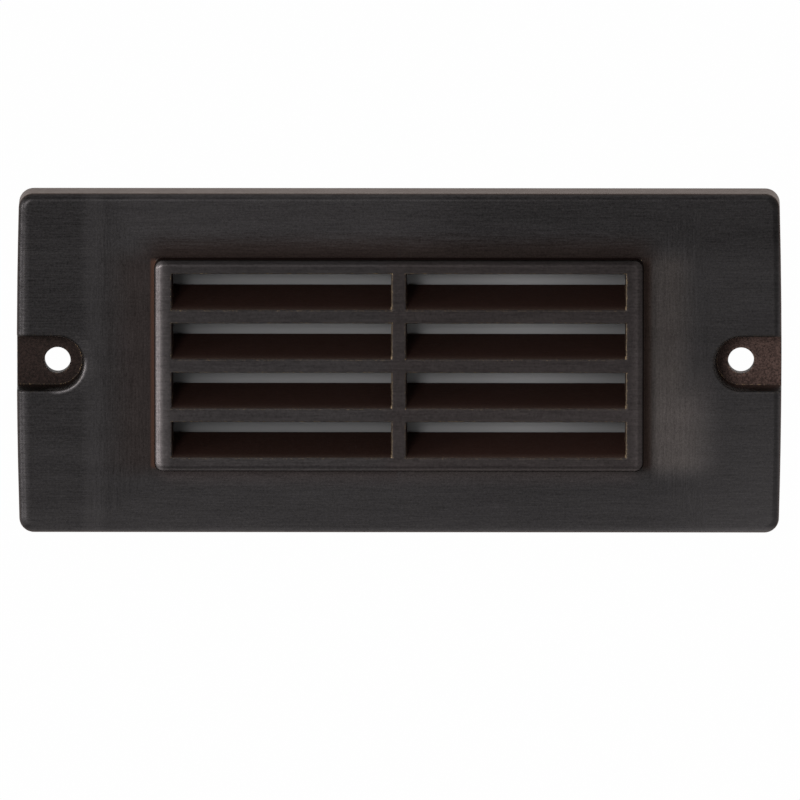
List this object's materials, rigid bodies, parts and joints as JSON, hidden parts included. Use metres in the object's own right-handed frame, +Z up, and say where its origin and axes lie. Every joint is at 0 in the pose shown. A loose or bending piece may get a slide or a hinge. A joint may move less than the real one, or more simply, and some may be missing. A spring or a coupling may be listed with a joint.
{
  "type": "step light",
  "caption": "Recessed louvred step light: cast rectangular faceplate with slanted slots and two screw recesses, frosted glass, plug-in lamp and sealed back housing.",
  "frame": {"origin": "on the wall plane, midway between the two wall screw holes", "axes": "+X along the faceplate, +Z up, +Y into the wall; the light shines toward -Y"},
  "size_m": [0.235, 0.1075, 0.105],
  "materials": {
    "bronze_casting": "dark oil-rubbed bronze, brushed on the outer faces, brown patina in the hollows",
    "frosted_glass": "frosted tempered glass",
    "silicone": "matt grey silicone",
    "spring_steel": "stainless strip",
    "screw_steel": "stainless, turned",
    "housing_coating": "dark bronze powder coat, fine grain",
    "reflector_white": "gloss white paint",
    "grommet_rubber": "matt black rubber",
    "holder_plastic": "cream moulded thermoset",
    "contact_brass": "plain brass",
    "plated_sheet": "zinc-plated sheet",
    "terminal_plastic": "off-white nylon",
    "lead_black": "black wire insulation",
    "lead_white": "white wire insulation",
    "gland_nylon": "black nylon",
    "gland_rubber": "black rubber",
    "lamp_base_plastic": "white moulded plastic",
    "board_white": "white circuit board",
    "led_phosphor": "yellow phosphor in a white frame",
    "lamp_cover_frost": "frosted polycarbonate"
  },
  "bodies": {
    "faceplate": {"faceplate": "bronze_casting", "lens_gasket": "silicone", "lens": "frosted_glass", "lens_clips": "spring_steel", "lens_clip_screws": "screw_steel", "housing_gasket": "silicone"},
    "housing": {"housing": "housing_coating", "housing_screws": "screw_steel", "reflector": "reflector_white", "reflector_screws": "screw_steel", "lead_grommet": "grommet_rubber", "lampholder": "holder_plastic", "lampholder_contacts": "contact_brass", "lampholder_bracket": "plated_sheet", "bracket_screws": "screw_steel", "lampholder_screws": "screw_steel", "terminal_block": "terminal_plastic", "terminal_clamps": "contact_brass", "terminal_screws": "screw_steel", "terminal_block_screw": "screw_steel", "lead_supply": "lead_black", "lead_return": "lead_white", "gland_body": "gland_nylon", "gland_seal": "gland_rubber", "gland_washer": "gland_rubber", "entry_plug": "gland_nylon", "entry_plug_oring": "gland_rubber"},
    "lamp": {"lamp_base": "lamp_base_plastic", "lamp_board": "board_white", "lamp_chips": "led_phosphor", "lamp_cover": "lamp_cover_frost"},
    "gland_nut": {"gland_nut": "gland_nylon"}
  },
  "joints": [
    {"name": "housing_removal", "type": "slide", "parent": "faceplate", "child": "housing", "axis": [0, 1, 0], "range_m": [0, 0.065]},
    {"name": "lamp_removal", "type": "slide", "parent": "housing", "child": "lamp", "axis": [1, 0, 0], "range_m": [0, 0.012]},
    {"name": "gland_nut_turn", "type": "hinge", "parent": "housing", "child": "gland_nut", "pos_m": [0.05, 0.074, 0], "axis": [0, 1, 0], "range_deg": [0, 720]}
  ]
}
